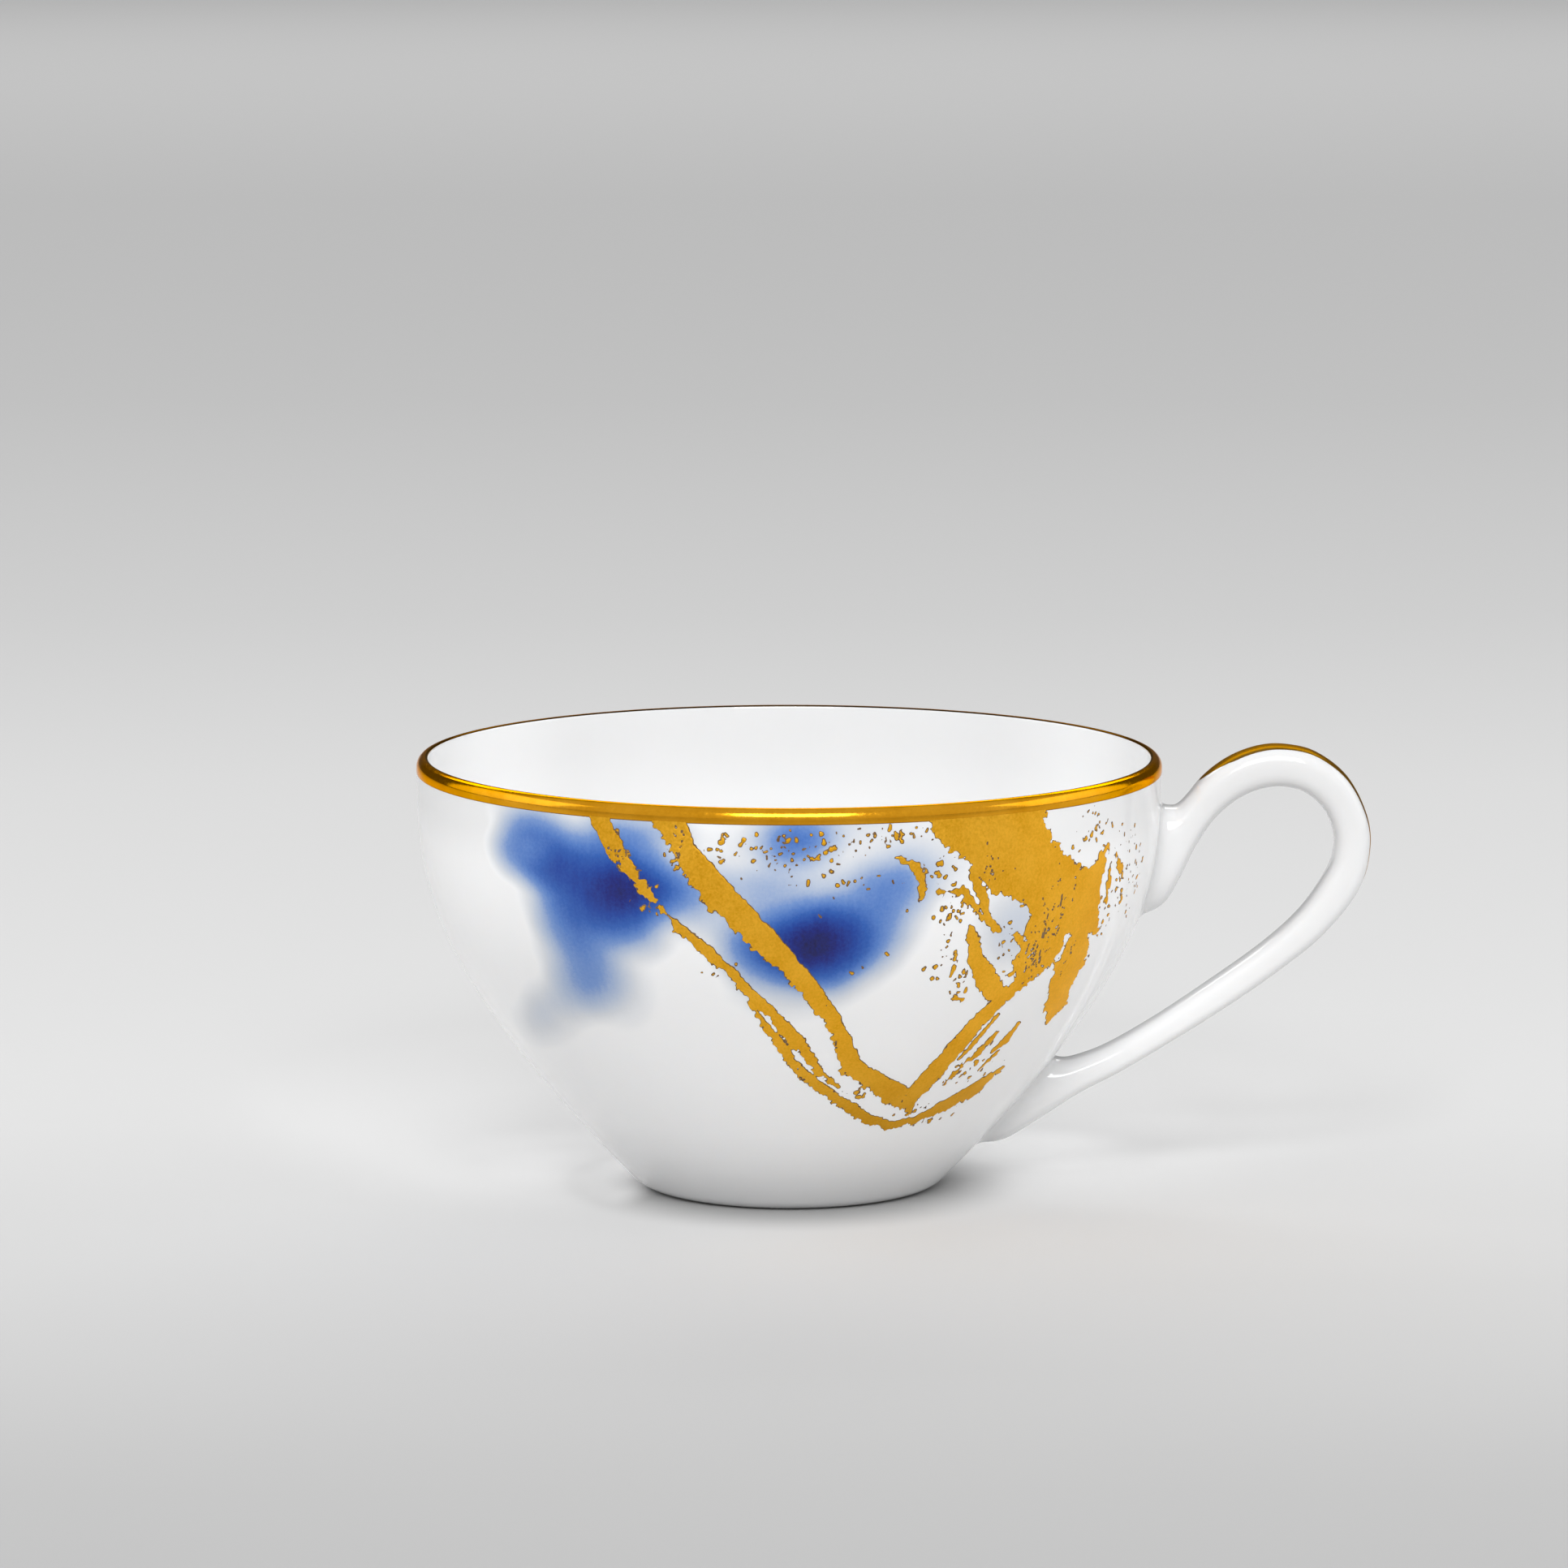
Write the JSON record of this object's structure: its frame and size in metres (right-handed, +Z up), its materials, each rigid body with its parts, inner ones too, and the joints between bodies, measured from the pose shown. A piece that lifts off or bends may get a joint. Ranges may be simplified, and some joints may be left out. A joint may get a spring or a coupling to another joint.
{
  "type": "teacup",
  "caption": "Low wide porcelain teacup on a small foot ring, with a slanted loop handle, a gilded rim and a splash of gold over blue washes.",
  "frame": {"origin": "centre of the whole object's box, handle included, on the plane that the foot ring stands on", "axes": "+Z up out of the cup's mouth, +X towards the handle, -Y towards the printed front of the wall"},
  "size_m": [0.1236, 0.0966, 0.0575],
  "materials": {
    "porcelain": "glossy glaze",
    "gold": "polished gilding"
  },
  "bodies": {
    "root": {"bowl": "porcelain", "handle": "porcelain", "upper_joint_slip": "porcelain", "lower_joint_slip": "porcelain", "rim_gilding": "gold", "handle_gilding": "gold", "gold_stroke_left": "gold", "gold_stroke_right": "gold", "gold_arm": "gold", "gold_splash": "gold", "gold_drip": "gold"}
  },
  "joints": []
}
